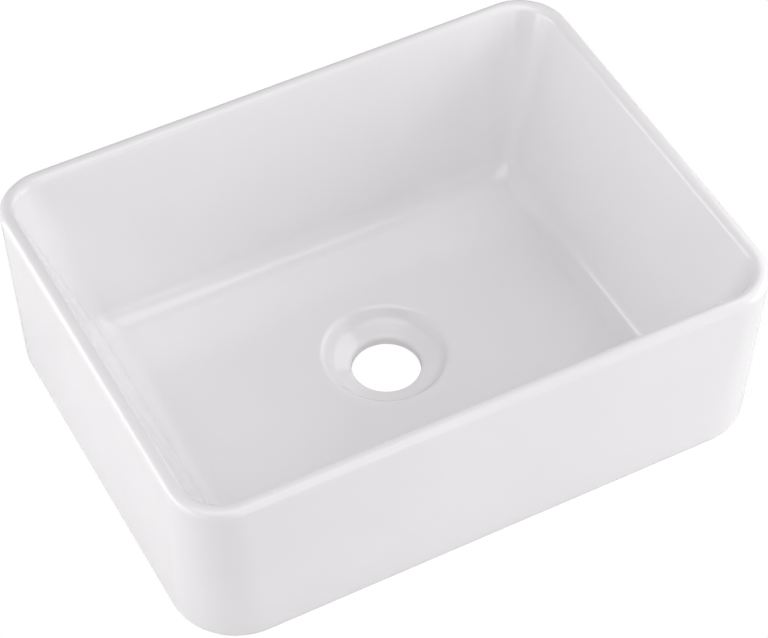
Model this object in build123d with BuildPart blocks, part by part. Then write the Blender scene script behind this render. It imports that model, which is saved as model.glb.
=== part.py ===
from build123d import *
import os
from math import tan, atan, sin, cos, degrees, pi

os.makedirs("parts", exist_ok=True)

# Countertop basin in glazed vitreous china, bare, with an open drain hole.
# Millimetres. Origin at the bottom centre, +X along the long side, +Y to the
# rear, +Z up. The counter surface is z = 0.

# ---- overall size -------------------------------------------------------
length = 400.0            # over the rim, X
width = 305.0             # over the rim, Y
height = 130.0            # counter to rim top
pad_height = 1.5          # foot stands this far above the counter

# ---- outer shell --------------------------------------------------------
rim_corner_r = 34.0       # plan radius of the outer corner at the rim
base_corner_r = 44.0      # plan radius of the outer corner at the base
base_inset = 2.0          # the base is this much narrower on every side
base_edge_r = 8.0         # rounding of the lower outer edge

# ---- bowl ---------------------------------------------------------------
rim_width = 9.0           # outer wall to inner wall at the rim
rim_outer_r = 4.5         # roundings of the rim
rim_inner_r = 5.5
bowl_floor_z = 20.5       # flat of the floor
bowl_base_length = 300.8  # inner walls carried down to the floor
bowl_base_width = 207.6
bowl_top_corner_r = 26.0
bowl_base_corner_r = 8.0  # the inner corners tighten towards the floor
bowl_floor_r = 18.5       # rounding between floor and walls
floor_corner_r = 9.0      # plan radius of the flat floor's corners
fall_r = 86.0             # inside this radius the floor falls to the drain
floor_fall = 0.8

# ---- drain --------------------------------------------------------------
drain_x = 3.5             # the hole is a little right of the middle
drain_r = 22.5            # waste hole
drain_lip_r = 2.6
drain_foot_chamfer = 0.4
dish_rim_r = 40.5         # edge of the recess in the floor
dish_rim_round = 6.0
seat_outer_r = 35.0       # conical seat for the flange of a waste
seat_outer_z = 12.2
seat_inner_z = 8.0
seat_round = 9.0
boss_r = 52.0             # boss under the drain, ground flush with the foot
boss_root_r = 4.0

# ---- hollow casting -----------------------------------------------------
wall = 7.5                # outer and inner walls below the rim
hollow_bottom_z = 10.5
hollow_top_z = 92.0
hollow_edge_r = 5.0
under_length = 292.0      # shallow recess under the bowl, inside the foot
under_width = 199.0
under_corner_r = 20.0
under_top_z = 10.5
under_draft = 12.0
under_edge_r = 4.0
vent_r = 4.0              # casting vents from the hollow through the foot
vent_x = 170.5

# ---- foot pads ----------------------------------------------------------
pad_r = 6.0
pad_x = 168.0
pad_y = 120.5

foot_z = pad_height


def outer_at(z):
    # length, width and corner radius of the outer shell at height z
    t = (z - foot_z) / (height - foot_z)
    return (
        length - 2.0 * base_inset * (1.0 - t),
        width - 2.0 * base_inset * (1.0 - t),
        base_corner_r + (rim_corner_r - base_corner_r) * t,
    )


bowl_top_length = length - 2.0 * rim_width
bowl_top_width = width - 2.0 * rim_width


def bowl_at(z):
    # length, width and corner radius of the inner walls at height z
    t = (z - bowl_floor_z) / (height - bowl_floor_z)
    return (
        bowl_base_length + (bowl_top_length - bowl_base_length) * t,
        bowl_base_width + (bowl_top_width - bowl_base_width) * t,
        bowl_base_corner_r + (bowl_top_corner_r - bowl_base_corner_r) * t,
    )


bowl_slope = (bowl_top_length - bowl_base_length) / 2.0 / (height - bowl_floor_z)
wall_plan = wall / cos(atan(bowl_slope))
drain_plane = Plane(origin=(drain_x, 0.0, 0.0), x_dir=(1.0, 0.0, 0.0), z_dir=(0.0, -1.0, 0.0))
drain_axis = Axis((drain_x, 0.0, 0.0), (0.0, 0.0, 1.0))

# the rounding turns from the flat floor up to the leaning wall
floor_turn = pi / 2.0 - atan(bowl_slope)
flat_length = bowl_base_length - 2.0 * bowl_floor_r * tan(floor_turn / 2.0)
flat_width = bowl_base_width - 2.0 * bowl_floor_r * tan(floor_turn / 2.0)
bowl_wall_z = bowl_floor_z + bowl_floor_r * (1.0 - cos(floor_turn))
print("inner wall leans", round(degrees(atan(bowl_slope)), 2), "degrees")


# ---- the space inside the bowl ------------------------------------------
with BuildPart() as bowl_space:
    with BuildSketch(Plane.XY.offset(bowl_wall_z)):
        RectangleRounded(*bowl_at(bowl_wall_z))
    with BuildSketch(Plane.XY.offset(height + 3.0)):
        RectangleRounded(*bowl_at(height + 3.0))
    loft(ruled=True)
    # the rounding between floor and walls, with its tight corners
    steps = 8
    for k in range(steps + 1):
        turn = floor_turn * k / steps
        out = 2.0 * bowl_floor_r * sin(turn)
        corner = floor_corner_r + (bowl_at(bowl_wall_z)[2] - floor_corner_r) * k / steps
        with BuildSketch(Plane.XY.offset(bowl_floor_z + bowl_floor_r * (1.0 - cos(turn)))):
            RectangleRounded(flat_length + out, flat_width + out, corner)
    loft()


# ---- the closed hollow between outer and inner walls ----------------------
with BuildPart() as wall_hollow:
    lx, ly, r = outer_at(hollow_bottom_z)
    with BuildSketch(Plane.XY.offset(hollow_bottom_z)):
        RectangleRounded(lx - 2.0 * wall, ly - 2.0 * wall, r - wall)
    lx, ly, r = outer_at(hollow_top_z)
    with BuildSketch(Plane.XY.offset(hollow_top_z)):
        RectangleRounded(lx - 2.0 * wall, ly - 2.0 * wall, r - wall)
    loft(ruled=True)
    fillet(wall_hollow.faces().sort_by(Axis.Z)[0].edges(), hollow_edge_r)
    lx, ly, r = bowl_at(hollow_bottom_z - 1.0)
    with BuildSketch(Plane.XY.offset(hollow_bottom_z - 1.0)):
        RectangleRounded(lx + 2.0 * wall_plan, ly + 2.0 * wall_plan, r + wall_plan)
    lx, ly, r = bowl_at(hollow_top_z + 1.0)
    with BuildSketch(Plane.XY.offset(hollow_top_z + 1.0)):
        RectangleRounded(lx + 2.0 * wall_plan, ly + 2.0 * wall_plan, r + wall_plan)
    loft(ruled=True, mode=Mode.SUBTRACT)


# ---- the shallow recess underneath, round the drain boss ------------------
with BuildPart() as under_space:
    with BuildSketch(Plane.XY.offset(foot_z)):
        RectangleRounded(under_length, under_width, under_corner_r)
    extrude(amount=under_top_z - foot_z, taper=under_draft)
    fillet(under_space.faces().sort_by(Axis.Z)[-1].edges(), under_edge_r)
    with BuildSketch(drain_plane):
        with BuildLine():
            Polyline(
                (boss_r, under_top_z - boss_root_r),
                (boss_r - 0.8, foot_z - 1.0),
                (0.0, foot_z - 1.0),
                (0.0, under_top_z + 1.0),
                (boss_r + boss_root_r, under_top_z + 1.0),
                (boss_r + boss_root_r, under_top_z),
            )
            RadiusArc(
                (boss_r + boss_root_r, under_top_z),
                (boss_r, under_top_z - boss_root_r),
                -boss_root_r,
            )
        make_face()
    revolve(axis=drain_axis, mode=Mode.SUBTRACT)


# ---- basin body ---------------------------------------------------------
with BuildPart() as basin_body:
    with BuildSketch(Plane.XY.offset(foot_z)):
        RectangleRounded(*outer_at(foot_z))
    with BuildSketch(Plane.XY.offset(height)):
        RectangleRounded(*outer_at(height))
    loft(ruled=True)
    fillet(basin_body.faces().sort_by(Axis.Z)[0].edges(), base_edge_r)
    fillet(basin_body.faces().sort_by(Axis.Z)[-1].edges(), rim_outer_r)

    # bowl, and the inner rounding of the rim
    add(bowl_space.part, mode=Mode.SUBTRACT)
    rim_top = basin_body.faces().filter_by(Plane.XY).sort_by(Axis.Z)[-1]
    fillet(rim_top.inner_wires()[0].edges(), rim_inner_r)

    # recess underneath, round the drain boss
    add(under_space.part, mode=Mode.SUBTRACT)

    # the floor's fall, the recess for a waste's flange, and the waste hole
    with BuildSketch(drain_plane):
        with BuildLine():
            FilletPolyline(
                (fall_r, bowl_floor_z),
                (dish_rim_r, bowl_floor_z - floor_fall),
                (seat_outer_r, seat_outer_z),
                (drain_r, seat_inner_z),
                (drain_r, foot_z - 1.0),
                radius=(dish_rim_round, seat_round, drain_lip_r),
            )
            Polyline(
                (drain_r, foot_z - 1.0),
                (0.0, foot_z - 1.0),
                (0.0, bowl_floor_z + 10.0),
                (fall_r, bowl_floor_z + 10.0),
                (fall_r, bowl_floor_z),
            )
        make_face()
    revolve(axis=drain_axis, mode=Mode.SUBTRACT)
    foot_edge = (
        basin_body.edges()
        .filter_by(GeomType.CIRCLE)
        .filter_by(lambda e: abs(e.radius - drain_r) < 0.01)
        .sort_by(Axis.Z)[0]
    )
    chamfer(foot_edge, drain_foot_chamfer)

    # hollow between the walls, with its two casting vents in the foot
    add(wall_hollow.part, mode=Mode.SUBTRACT)
    with Locations((vent_x, 0.0, foot_z), (-vent_x, 0.0, foot_z)):
        Cylinder(
            vent_r,
            hollow_bottom_z - foot_z + 3.0,
            align=(Align.CENTER, Align.CENTER, Align.MIN),
            mode=Mode.SUBTRACT,
        )

basin_body.part.label = "basin_body"
export_step(basin_body.part, "parts/basin_body.step")
print("basin_body", round(basin_body.part.volume / 1000.0, 1), "cm3, valid", basin_body.part.is_valid)


# ---- foot pads ----------------------------------------------------------
with BuildPart() as foot_pad_front_left:
    with BuildSketch(Plane.XY):
        with Locations((-pad_x, -pad_y)):
            Circle(pad_r)
    extrude(amount=pad_height)
    chamfer(foot_pad_front_left.edges().group_by(Axis.Z)[0], 0.4)
foot_pad_front_left.part.label = "foot_pad_front_left"
export_step(foot_pad_front_left.part, "parts/foot_pad_front_left.step")

with BuildPart() as foot_pad_front_right:
    with BuildSketch(Plane.XY):
        with Locations((pad_x, -pad_y)):
            Circle(pad_r)
    extrude(amount=pad_height)
    chamfer(foot_pad_front_right.edges().group_by(Axis.Z)[0], 0.4)
foot_pad_front_right.part.label = "foot_pad_front_right"
export_step(foot_pad_front_right.part, "parts/foot_pad_front_right.step")

with BuildPart() as foot_pad_rear_left:
    with BuildSketch(Plane.XY):
        with Locations((-pad_x, pad_y)):
            Circle(pad_r)
    extrude(amount=pad_height)
    chamfer(foot_pad_rear_left.edges().group_by(Axis.Z)[0], 0.4)
foot_pad_rear_left.part.label = "foot_pad_rear_left"
export_step(foot_pad_rear_left.part, "parts/foot_pad_rear_left.step")

with BuildPart() as foot_pad_rear_right:
    with BuildSketch(Plane.XY):
        with Locations((pad_x, pad_y)):
            Circle(pad_r)
    extrude(amount=pad_height)
    chamfer(foot_pad_rear_right.edges().group_by(Axis.Z)[0], 0.4)
foot_pad_rear_right.part.label = "foot_pad_rear_right"
export_step(foot_pad_rear_right.part, "parts/foot_pad_rear_right.step")
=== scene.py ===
import math

import bmesh
import bpy
import numpy as np
from mathutils import Matrix, Vector


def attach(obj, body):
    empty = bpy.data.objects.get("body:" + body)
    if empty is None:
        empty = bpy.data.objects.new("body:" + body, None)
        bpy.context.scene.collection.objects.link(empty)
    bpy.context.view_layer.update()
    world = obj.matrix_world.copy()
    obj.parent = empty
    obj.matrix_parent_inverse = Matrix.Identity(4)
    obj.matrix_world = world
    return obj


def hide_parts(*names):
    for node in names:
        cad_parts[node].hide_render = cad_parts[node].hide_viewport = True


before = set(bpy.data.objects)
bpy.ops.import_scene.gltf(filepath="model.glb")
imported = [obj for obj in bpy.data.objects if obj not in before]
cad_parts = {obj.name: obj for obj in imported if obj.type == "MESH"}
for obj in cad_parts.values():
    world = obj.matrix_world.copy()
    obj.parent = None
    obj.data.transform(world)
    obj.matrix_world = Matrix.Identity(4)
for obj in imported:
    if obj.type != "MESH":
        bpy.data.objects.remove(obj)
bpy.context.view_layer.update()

scene = bpy.context.scene

# ------------------------------------------------------------------ camera
cam_data = bpy.data.cameras.new("camera")
cam_data.sensor_width = 36.0
cam_data.lens = 136.65
cam_data.clip_start = 0.05
cam_data.clip_end = 50.0
cam = bpy.data.objects.new("camera", cam_data)
cam.rotation_mode = "QUATERNION"
cam.location = (-0.56324, -1.08456, 1.42886)
cam.rotation_quaternion = (0.907145, 0.345379, -0.083341, -0.225513)
scene.collection.objects.link(cam)
scene.camera = cam

# ------------------------------------------------------------- dimensions
# The same sizes as the CAD model, in millimetres.
L, W, H = 400.0, 305.0, 130.0
FOOT = 1.5
RIM_R, BASE_R, BASE_IN, BASE_EDGE = 34.0, 44.0, 2.0, 8.0
RIM_W, RIM_OUT, RIM_IN = 9.0, 4.5, 5.5
FLOOR, BOWL_L, BOWL_W = 20.5, 300.8, 207.6
BOWL_TOP_R, BOWL_BASE_R, FLOOR_R, FLOOR_CR = 26.0, 8.0, 18.5, 9.0
DRAIN_X, DRAIN_R, LIP_R, DISH_R, DISH_ROUND = 3.5, 22.5, 2.6, 40.5, 6.0
SEAT_R, SEAT_Z, SEAT_IN_Z, SEAT_ROUND = 35.0, 12.2, 8.0, 9.0
FALL_R, FALL = 86.0, 0.8
BOSS_R, BOSS_ROOT = 52.0, 4.0
UNDER_L, UNDER_W, UNDER_CR, UNDER_Z = 292.0, 199.0, 20.0, 10.5
UNDER_DRAFT, UNDER_EDGE = 12.0, 4.0


def mix(a, b, t):
    return a + (b - a) * t


def outer_at(z):
    t = (z - FOOT) / (H - FOOT)
    return L / 2 - BASE_IN * (1 - t), W / 2 - BASE_IN * (1 - t), mix(BASE_R, RIM_R, t)


def bowl_at(z):
    t = (z - FLOOR) / (H - FLOOR)
    return (
        mix(BOWL_L / 2, L / 2 - RIM_W, t),
        mix(BOWL_W / 2, W / 2 - RIM_W, t),
        mix(BOWL_BASE_R, BOWL_TOP_R, t),
    )


# Points round a rounded rectangle, always in the same order: N_C to a corner,
# N_X to a long side and N_Y to a short side.
N_C, N_X, N_Y = 26, 44, 32
kind, par = [], []
for c in range(4):
    for k in range(N_C):
        kind.append(("c", c))
        par.append(k / N_C)
    for k in range(N_X if c % 2 == 0 else N_Y):
        kind.append(("s", c))
        par.append(k / (N_X if c % 2 == 0 else N_Y))
N = len(kind)
SX, SY = (1, -1, -1, 1), (1, 1, -1, -1)


def ring(a, b, r):
    """Rounded rectangle with half sizes a, b and corner radius r, and its outward normals."""
    out, nor = np.zeros((N, 2)), np.zeros((N, 2))
    for i, ((what, c), t) in enumerate(zip(kind, par)):
        ang = math.radians(90.0 * (c + (t if what == "c" else 1.0)))
        n = np.array((math.cos(ang), math.sin(ang)))
        p = np.array((SX[c] * (a - r), SY[c] * (b - r))) + r * n
        if what == "s":
            d = (c + 1) % 4
            q = np.array((SX[d] * (a - r), SY[d] * (b - r))) + r * n
            p = mix(p, q, t)
        out[i], nor[i] = p, n
    return out, nor


def ruling(at, z0, z1):
    """The wall as straight rulings: a point for each height, and the wall's own normal."""
    p0, n = ring(*at(z0))
    p1, _ = ring(*at(z1))
    w = np.c_[p1 - p0, np.full(N, z1 - z0)]
    slope = (w[:, :2] * n).sum(axis=1) / w[:, 2]  # outward travel per height, square to the edge
    nz = -slope / np.hypot(1.0, slope)
    nh = 1.0 / np.hypot(1.0, slope)

    def point(z):
        t = (np.asarray(z) - z0) / (z1 - z0)
        t = np.broadcast_to(t, (N,))[:, None]
        return np.c_[p0, np.full(N, z0)] + w * t

    return point, n, np.c_[n * nh[:, None], nz]


loops = []


def loop(xy, z):
    loops.append(np.c_[xy, np.broadcast_to(z, (N,))])


def spread(a, b, n, ends=0.0):
    """n steps from a to b without its first, drawn towards both ends."""
    out = []
    for k in range(1, n + 1):
        t = k / n
        s = t * t * (3 - 2 * t)
        out.append(mix(a, b, mix(t, s, ends)))
    return out


# rolling-ball contacts -----------------------------------------------------
bowl_pt, bn, bnorm = ruling(bowl_at, FLOOR, H)
inward = -bnorm  # into the bowl
lean = math.atan((L / 2 - RIM_W - BOWL_L / 2) / (H - FLOOR))
turn = math.pi / 2 - lean  # from the flat floor up to the leaning wall
flat_a = BOWL_L / 2 - FLOOR_R * math.tan(turn / 2)
flat_b = BOWL_W / 2 - FLOOR_R * math.tan(turn / 2)
z_wall = FLOOR + FLOOR_R * (1 - math.cos(turn))
wall_lo = bowl_pt(z_wall)
z_rim = H - RIM_IN * (1.0 - inward[:, 2])
wall_hi = bowl_pt(z_rim)
ball_rim = wall_hi - RIM_IN * inward

out_pt, on, onorm = ruling(outer_at, FOOT, H)
z_or = H - RIM_OUT + RIM_OUT * onorm[:, 2]
or_pt = out_pt(z_or)
ball_or = or_pt - RIM_OUT * onorm
z_ob = FOOT + BASE_EDGE + BASE_EDGE * onorm[:, 2]
ob_pt = out_pt(z_ob)
ball_ob = ob_pt - BASE_EDGE * onorm

# polar angle of each section where it meets the round drain
foot_xy, _ = ring(flat_a, flat_b, FLOOR_CR)
theta = np.unwrap(np.arctan2(foot_xy[:, 1], foot_xy[:, 0] - DRAIN_X))
even = theta[0] + np.arange(N) * 2 * math.pi / N
even += (theta - even).mean()
ang = mix(theta, even, 0.35)
cs = np.c_[np.cos(ang), np.sin(ang)]
hub = np.array((DRAIN_X, 0.0))


def fillet_path(points, radii, step=7.0):
    """Points (r, z) of a polyline with its inner corners rounded."""
    out = [np.array(points[0], float)]
    for k in range(1, len(points) - 1):
        p, q, s = (np.array(v, float) for v in points[k - 1 : k + 2])
        u, v = (p - q) / np.linalg.norm(p - q), (s - q) / np.linalg.norm(s - q)
        half = math.acos(max(-1.0, min(1.0, float(u @ v)))) / 2
        d = radii[k - 1] / math.tan(half)
        a, b = q + u * d, q + v * d
        c = q + (u + v) / np.linalg.norm(u + v) * radii[k - 1] / math.sin(half)
        turn = math.pi - 2 * half
        n = max(3, int(math.degrees(turn) / step))
        a0 = math.atan2(*(a - c)[::-1])
        a1 = math.atan2(*(b - c)[::-1])
        da = (a1 - a0 + math.pi) % (2 * math.pi) - math.pi
        for j in range(n + 1):
            w = a0 + da * j / n
            out.append(c + radii[k - 1] * np.array((math.cos(w), math.sin(w))))
    out.append(np.array(points[-1], float))
    return out


# drain, from the foot up through the hole and out over the floor ----------
drain_path = fillet_path(
    [
        (DRAIN_R, FOOT + 0.4),
        (DRAIN_R, SEAT_IN_Z),
        (SEAT_R, SEAT_Z),
        (DISH_R, FLOOR - FALL),
        (50.0, FLOOR - FALL + 0.13),
    ],
    [LIP_R, SEAT_ROUND, DISH_ROUND],
)
full = []
for p, q in zip(drain_path[:-1], drain_path[1:]):
    n = max(1, int(np.linalg.norm(q - p) / 1.6))
    for k in range(n):
        full.append(mix(p, q, k / n))
full.append(drain_path[-1])
for r, z in full:
    loop(hub + cs * r, z)

# floor, from the recess to the rounding
start = loops[-1][:, :2].copy()
z_start = float(loops[-1][0, 2])
NF = 26
for k in range(1, NF):
    t = k / NF
    s = mix(t, math.sin(t * math.pi / 2), 0.25)
    xy = mix(start, foot_xy, s)
    rise = (1 - (1 - s) ** 2) * (FLOOR - z_start)
    loop(xy, z_start + rise)
loop(foot_xy, FLOOR)

# rounding between floor and wall
NR = 48
for k in range(1, NR + 1):
    phi = turn * k / NR
    out = FLOOR_R * math.sin(phi)
    xy, _ = ring(flat_a + out, flat_b + out, mix(FLOOR_CR, bowl_at(z_wall)[2], k / NR))
    loop(xy, FLOOR + FLOOR_R * (1 - math.cos(phi)))

# inner wall
for t in spread(0.0, 1.0, 22, 0.3):
    p = mix(wall_lo, wall_hi, t)
    loop(p[:, :2], p[:, 2])

# rim: inner rounding, top, outer rounding
NI = 30
phi_end = np.arccos(np.clip(inward[:, 2], -1, 1))  # lean of the wall at each section
for k in range(1, NI + 1):
    phi = phi_end * (1 - k / NI)
    loop(
        ball_rim[:, :2] - bn * (RIM_IN * np.sin(phi))[:, None],
        ball_rim[:, 2] + RIM_IN * np.cos(phi),
    )
top_in = loops[-1].copy()
top_out = np.c_[ball_or[:, :2], np.full(N, H)]
loop(mix(top_in, top_out, 0.5)[:, :2], H)
NO = 20
psi_end = np.arccos(np.clip(onorm[:, 2], -1, 1))
for k in range(0, NO + 1):
    psi = psi_end * k / NO
    loop(
        ball_or[:, :2] + on * (RIM_OUT * np.sin(psi))[:, None],
        ball_or[:, 2] + RIM_OUT * np.cos(psi),
    )

# outer wall
for t in spread(0.0, 1.0, 22, 0.3):
    p = mix(or_pt, ob_pt, t)
    loop(p[:, :2], p[:, 2])

# lower outer edge
NB = 14
for k in range(1, NB + 1):
    psi = psi_end + (math.pi - psi_end) * k / NB
    loop(
        ball_ob[:, :2] + on * (BASE_EDGE * np.sin(psi))[:, None],
        ball_ob[:, 2] + BASE_EDGE * np.cos(psi),
    )
foot_edge = loops[-1][:, :2].copy()

# ground foot, in to the recess underneath
u_top = math.tan(math.radians(UNDER_DRAFT))
under_mouth, un = ring(UNDER_L / 2, UNDER_W / 2, UNDER_CR)
for t in spread(0.0, 1.0, 8):
    loop(mix(foot_edge, under_mouth, t), FOOT)
# recess wall, its rounding and roof
cos_d, sin_d = math.cos(math.radians(UNDER_DRAFT)), math.sin(math.radians(UNDER_DRAFT))
zc = UNDER_Z - UNDER_EDGE
z_touch = zc + UNDER_EDGE * sin_d
for t in spread(0.0, 1.0, 3):
    z = mix(FOOT, z_touch, t)
    inset = (z - FOOT) * u_top
    loop(under_mouth - un * inset, z)
inset_c = (z_touch - FOOT) * u_top + UNDER_EDGE * cos_d
for k in range(1, 9):
    g = math.radians(UNDER_DRAFT) + (math.pi / 2 - math.radians(UNDER_DRAFT)) * k / 8
    loop(under_mouth - un * (inset_c - UNDER_EDGE * math.cos(g)), zc + UNDER_EDGE * math.sin(g))
roof = loops[-1][:, :2].copy()
boss_path = fillet_path(
    [
        (BOSS_R + BOSS_ROOT + 3.0, UNDER_Z),
        (BOSS_R, UNDER_Z),
        (BOSS_R, FOOT),
        (DRAIN_R + 0.4, FOOT),
        (DRAIN_R, FOOT + 0.4),
    ],
    [BOSS_ROOT, 0.6, 0.05],
    9.0,
)
r0, z0 = boss_path[0]
for t in spread(0.0, 1.0, 10):
    loop(mix(roof, hub + cs * r0, t), UNDER_Z)
for r, z in boss_path[1:-1]:
    loop(hub + cs * r, z)

M = len(loops)
verts = np.concatenate(loops) / 1000.0
faces = []
for j in range(M):
    a, b = j * N, ((j + 1) % M) * N
    for i in range(N):
        k = (i + 1) % N
        faces.append((a + i, b + i, b + k, a + k))

mesh = bpy.data.meshes.new("basin")
mesh.from_pydata(verts.tolist(), [], faces)
mesh.update()
mesh.polygons.foreach_set("use_smooth", [True] * len(mesh.polygons))
basin = bpy.data.objects.new("basin_china", mesh)
scene.collection.objects.link(basin)
print("basin faces", len(faces), "loops", M, "round", N)

# casting vents in the ground foot: blind holes with a small chamfer
VENT_R, VENT_X, VENT_TOP = 4.0, 170.5, 15.0
prof = [(0.0, FOOT - 0.5), (VENT_R + 0.9, FOOT - 0.5), (VENT_R, FOOT + 0.4), (VENT_R, VENT_TOP - 2.0)]
prof += [
    (VENT_R - 2.0 + 2.0 * math.cos(math.pi / 2 * k / 5), VENT_TOP - 2.0 + 2.0 * math.sin(math.pi / 2 * k / 5))
    for k in range(1, 6)
]
prof.append((0.0, VENT_TOP))
SEG = 40
cut_mesh = bpy.data.meshes.new("vent_cutter")
bm = bmesh.new()
for x in (VENT_X, -VENT_X):
    rows = []
    for r, z in prof:
        if r == 0.0:
            rows.append([bm.verts.new((x / 1000, 0.0, z / 1000))] * SEG)
        else:
            rows.append(
                [
                    bm.verts.new(((x + r * math.cos(2 * math.pi * i / SEG)) / 1000, r * math.sin(2 * math.pi * i / SEG) / 1000, z / 1000))
                    for i in range(SEG)
                ]
            )
    for lo_row, hi_row in zip(rows[:-1], rows[1:]):
        for i in range(SEG):
            k = (i + 1) % SEG
            ring_v = []
            for v in (lo_row[i], lo_row[k], hi_row[k], hi_row[i]):
                if v not in ring_v:
                    ring_v.append(v)
            bm.faces.new(ring_v)
bm.to_mesh(cut_mesh)
bm.free()
cutter = bpy.data.objects.new("vent_cutter", cut_mesh)
scene.collection.objects.link(cutter)
mod = basin.modifiers.new("vents", "BOOLEAN")
mod.operation = "DIFFERENCE"
mod.solver = "EXACT"
mod.object = cutter
bpy.context.view_layer.update()
cut = bpy.data.meshes.new_from_object(basin.evaluated_get(bpy.context.evaluated_depsgraph_get()))
basin.modifiers.clear()
basin.data = cut
bpy.data.objects.remove(cutter)
bm = bmesh.new()
bm.from_mesh(cut)
bmesh.ops.remove_doubles(bm, verts=bm.verts, dist=2e-6)
bmesh.ops.dissolve_degenerate(bm, dist=2e-6, edges=bm.edges)
bm.to_mesh(cut)
bm.free()
mesh = cut
mesh.name = "basin"
mesh.polygons.foreach_set("use_smooth", [True] * len(mesh.polygons))
mesh.set_sharp_from_angle(angle=math.radians(40.0))
print("with vents", len(mesh.polygons))

# --------------------------------------------------------------- materials
def material(name):
    m = bpy.data.materials.new(name)
    m.use_nodes = True
    nt = m.node_tree
    return m, nt, nt.nodes["Principled BSDF"]


def noise(nt, scale, detail=2.0, rough=0.5):
    co = nt.nodes.new("ShaderNodeTexCoord")
    n = nt.nodes.new("ShaderNodeTexNoise")
    n.inputs["Scale"].default_value = scale
    n.inputs["Detail"].default_value = detail
    n.inputs["Roughness"].default_value = rough
    nt.links.new(co.outputs["Object"], n.inputs["Vector"])
    return n


def node(nt, kind, **props):
    n = nt.nodes.new(kind)
    for key, value in props.items():
        setattr(n, key, value)
    return n


def ramp(nt, source, lo_v, hi_v, out_lo, out_hi):
    """Maps source from lo_v..hi_v to out_lo..out_hi."""
    n = node(nt, "ShaderNodeMapRange")
    n.inputs["From Min"].default_value = lo_v
    n.inputs["From Max"].default_value = hi_v
    n.inputs["To Min"].default_value = out_lo
    n.inputs["To Max"].default_value = out_hi
    nt.links.new(source, n.inputs["Value"])
    return n.outputs["Result"]


def blend(nt, factor, a, b):
    n = node(nt, "ShaderNodeMix", data_type="RGBA")
    n.inputs["A"].default_value = (*a, 1) if isinstance(a, tuple) else (0, 0, 0, 1)
    n.inputs["B"].default_value = (*b, 1) if isinstance(b, tuple) else (0, 0, 0, 1)
    ins = [i for i in n.inputs if i.type == "RGBA"]
    if isinstance(a, tuple):
        ins[0].default_value = (*a, 1)
    else:
        nt.links.new(a, ins[0])
    if isinstance(b, tuple):
        ins[1].default_value = (*b, 1)
    else:
        nt.links.new(b, ins[1])
    nt.links.new(factor, n.inputs[0])
    return [o for o in n.outputs if o.type == "RGBA"][0]


def math_node(nt, op, a, b):
    n = node(nt, "ShaderNodeMath", operation=op)
    for k, v in enumerate((a, b)):
        if isinstance(v, (int, float)):
            n.inputs[k].default_value = v
        else:
            nt.links.new(v, n.inputs[k])
    return n.outputs[0]


# White glaze over vitreous china; the foot and the boss face are ground bare.
glaze, nt, bsdf = material("white_glaze")
bsdf.inputs["IOR"].default_value = 1.5
tint = noise(nt, 9.0, 3.0)
speck = noise(nt, 900.0, 2.0)
glaze_colour = blend(nt, ramp(nt, tint.outputs["Fac"], 0.35, 0.65, 0.0, 1.0), (0.868, 0.850, 0.866), (0.846, 0.830, 0.846))
bisque_colour = blend(nt, ramp(nt, speck.outputs["Fac"], 0.35, 0.68, 0.0, 1.0), (0.80, 0.775, 0.735), (0.66, 0.63, 0.585))
co = node(nt, "ShaderNodeTexCoord")
xyz = node(nt, "ShaderNodeSeparateXYZ")
nt.links.new(co.outputs["Object"], xyz.inputs[0])
edge = noise(nt, 60.0, 2.0)
edge_z = math_node(nt, "ADD", xyz.outputs["Z"], ramp(nt, edge.outputs["Fac"], 0.3, 0.7, -0.0004, 0.0004))
bare = ramp(nt, edge_z, 0.0021, 0.0025, 1.0, 0.0)
nt.links.new(blend(nt, bare, glaze_colour, bisque_colour), bsdf.inputs["Base Color"])
smear = noise(nt, 14.0, 3.0)
glaze_rough = ramp(nt, smear.outputs["Fac"], 0.3, 0.7, 0.115, 0.165)
rough = math_node(nt, "ADD", glaze_rough, math_node(nt, "MULTIPLY", bare, 0.6))
nt.links.new(rough, bsdf.inputs["Roughness"])
sag = noise(nt, 26.0, 1.0)
peel = noise(nt, 420.0, 2.0)
height_m = math_node(
    nt,
    "ADD",
    math_node(nt, "MULTIPLY", sag.outputs["Fac"], 0.00005),
    math_node(nt, "ADD", math_node(nt, "MULTIPLY", peel.outputs["Fac"], 0.0000012), math_node(nt, "MULTIPLY", math_node(nt, "MULTIPLY", speck.outputs["Fac"], bare), 0.00006)),
)
bump = node(nt, "ShaderNodeBump")
bump.inputs["Strength"].default_value = 1.0
bump.inputs["Distance"].default_value = 1.0
nt.links.new(height_m, bump.inputs["Height"])
nt.links.new(bump.outputs["Normal"], bsdf.inputs["Normal"])
basin.data.materials.clear()
basin.data.materials.append(glaze)

# Clear soft plastic of the pads, a little cloudy, with a moulded grain.
pad_mat, nt, bsdf = material("clear_pad")
cloud = noise(nt, 260.0, 3.0)
nt.links.new(
    blend(nt, ramp(nt, cloud.outputs["Fac"], 0.35, 0.65, 0.0, 1.0), (0.80, 0.80, 0.785), (0.69, 0.69, 0.67)),
    bsdf.inputs["Base Color"],
)
nt.links.new(ramp(nt, cloud.outputs["Fac"], 0.3, 0.7, 0.28, 0.42), bsdf.inputs["Roughness"])
bsdf.inputs["IOR"].default_value = 1.42
bsdf.inputs["Transmission Weight"].default_value = 0.35
grain = noise(nt, 2400.0, 2.0)
bump = node(nt, "ShaderNodeBump")
bump.inputs["Strength"].default_value = 0.5
bump.inputs["Distance"].default_value = 0.00008
nt.links.new(grain.outputs["Fac"], bump.inputs["Height"])
nt.links.new(bump.outputs["Normal"], bsdf.inputs["Normal"])
for pad_name in ("foot_pad_front_left", "foot_pad_front_right", "foot_pad_rear_left", "foot_pad_rear_right"):
    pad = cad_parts[pad_name]
    pad.data.materials.clear()
    pad.data.materials.append(pad_mat)

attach(basin, "root")
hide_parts("basin_body")

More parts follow.
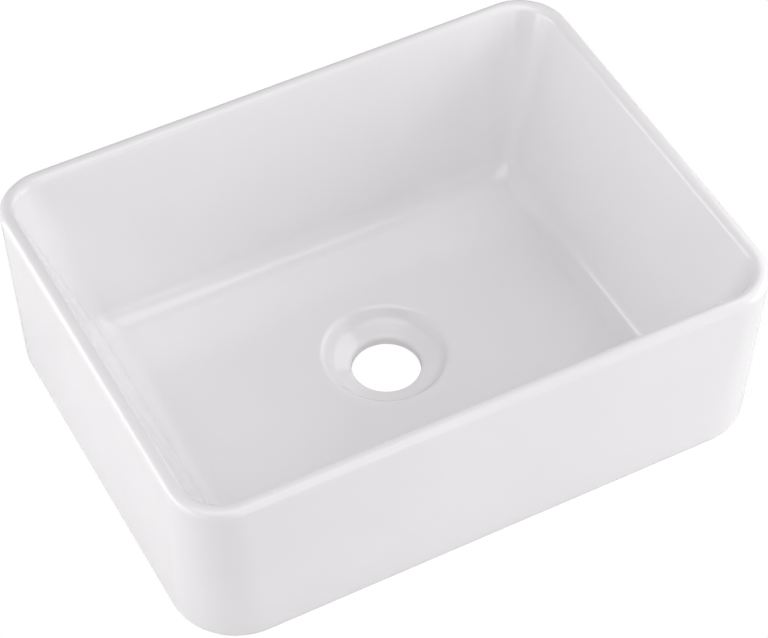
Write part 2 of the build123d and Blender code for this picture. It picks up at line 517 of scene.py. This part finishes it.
# ------------------------------------------------------------------- stage
def floor_plane(name, z, base, emit):
    s = 3.0 if emit == 0 else 12.0
    me = bpy.data.meshes.new(name)
    me.from_pydata([(-s, -s, z), (s, -s, z), (s, s, z), (-s, s, z)], [], [(0, 1, 2, 3)])
    o = bpy.data.objects.new(name, me)
    scene.collection.objects.link(o)
    m, nt, bsdf = material(name)
    bsdf.inputs["Base Color"].default_value = (base, base, base, 1)
    bsdf.inputs["Roughness"].default_value = 0.8
    bsdf.inputs["Specular IOR Level"].default_value = 0.0
    bsdf.inputs["Emission Color"].default_value = (1, 1, 1, 1)
    bsdf.inputs["Emission Strength"].default_value = emit
    me.materials.append(m)
    return o


# a plain white floor that is seen, and the same floor as it lights the basin
seen = floor_plane("floor", -0.0003, 0.0, 1.0)
seen.visible_diffuse = seen.visible_glossy = seen.visible_transmission = seen.visible_shadow = False
lit = floor_plane("floor_bounce", -0.0002, 0.85, 0.0)
lit.visible_camera = False

world = bpy.data.worlds.new("world")
world.use_nodes = True
world.node_tree.nodes["Background"].inputs["Color"].default_value = (1, 1, 1, 1)
world.node_tree.nodes["Background"].inputs["Strength"].default_value = 1.0
world.cycles_visibility.diffuse = False
world.cycles_visibility.glossy = False
world.cycles_visibility.transmission = False
scene.world = world


def softbox(name, azimuth, elevation, distance, size, radiance):
    """Square soft box aimed at the basin. Azimuth 0 is in front, 90 to the right."""
    a, e = math.radians(azimuth), math.radians(elevation)
    way = Vector((math.sin(a) * math.cos(e), -math.cos(a) * math.cos(e), math.sin(e)))
    d = bpy.data.lights.new(name, "AREA")
    d.shape = "SQUARE"
    d.size = size
    d.energy = radiance * math.pi * size * size
    o = bpy.data.objects.new(name, d)
    o.location = Vector((0, 0, 0.06)) + way * distance
    o.rotation_mode = "QUATERNION"
    o.rotation_quaternion = (-way).to_track_quat("-Z", "Y")
    o.visible_camera = False
    scene.collection.objects.link(o)


softbox("left", -90, 14, 1.3, 0.7, 3.05)
softbox("left_rear", -120, 14, 1.3, 0.7, 3.45)
softbox("overhead", -30, 68, 1.6, 1.6, 1.95)
softbox("front_low", 0, 14, 1.3, 0.7, 2.05)
softbox("right_low", 60, 14, 1.3, 0.7, 4.1)
softbox("right_high", 100, 40, 1.3, 1.0, 2.25)

scene.view_settings.view_transform = "Standard"
